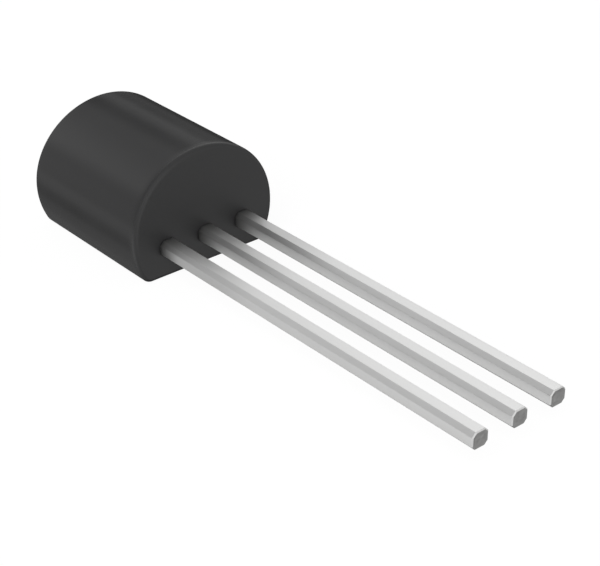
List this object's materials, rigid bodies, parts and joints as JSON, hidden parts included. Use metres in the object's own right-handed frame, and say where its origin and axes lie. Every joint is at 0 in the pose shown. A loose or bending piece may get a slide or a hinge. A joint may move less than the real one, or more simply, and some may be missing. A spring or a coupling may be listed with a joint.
{
  "type": "to-92 transistor",
  "caption": "Through-hole transistor: a D-shaped moulded body with straight leads in one row, lying on its flat.",
  "frame": {"origin": "middle of the flat of the moulded body", "axes": "+X along the leads towards their tips, +Y across the row of leads from the base lead to the emitter lead, +Z from the flat to the rounded back"},
  "size_m": [0.0165, 0.0046, 0.0034],
  "materials": {
    "moulding_compound": "satin",
    "tinned_lead": "satin",
    "silicon": "polished",
    "silver_epoxy": "matte",
    "gold_wire": "gloss"
  },
  "bodies": {
    "root": {"moulded_body": "moulding_compound", "emitter_lead": "tinned_lead", "collector_lead": "tinned_lead", "base_lead": "tinned_lead", "silicon_die": "silicon", "die_attach": "silver_epoxy", "emitter_wire": "gold_wire", "base_wire": "gold_wire"}
  },
  "joints": []
}
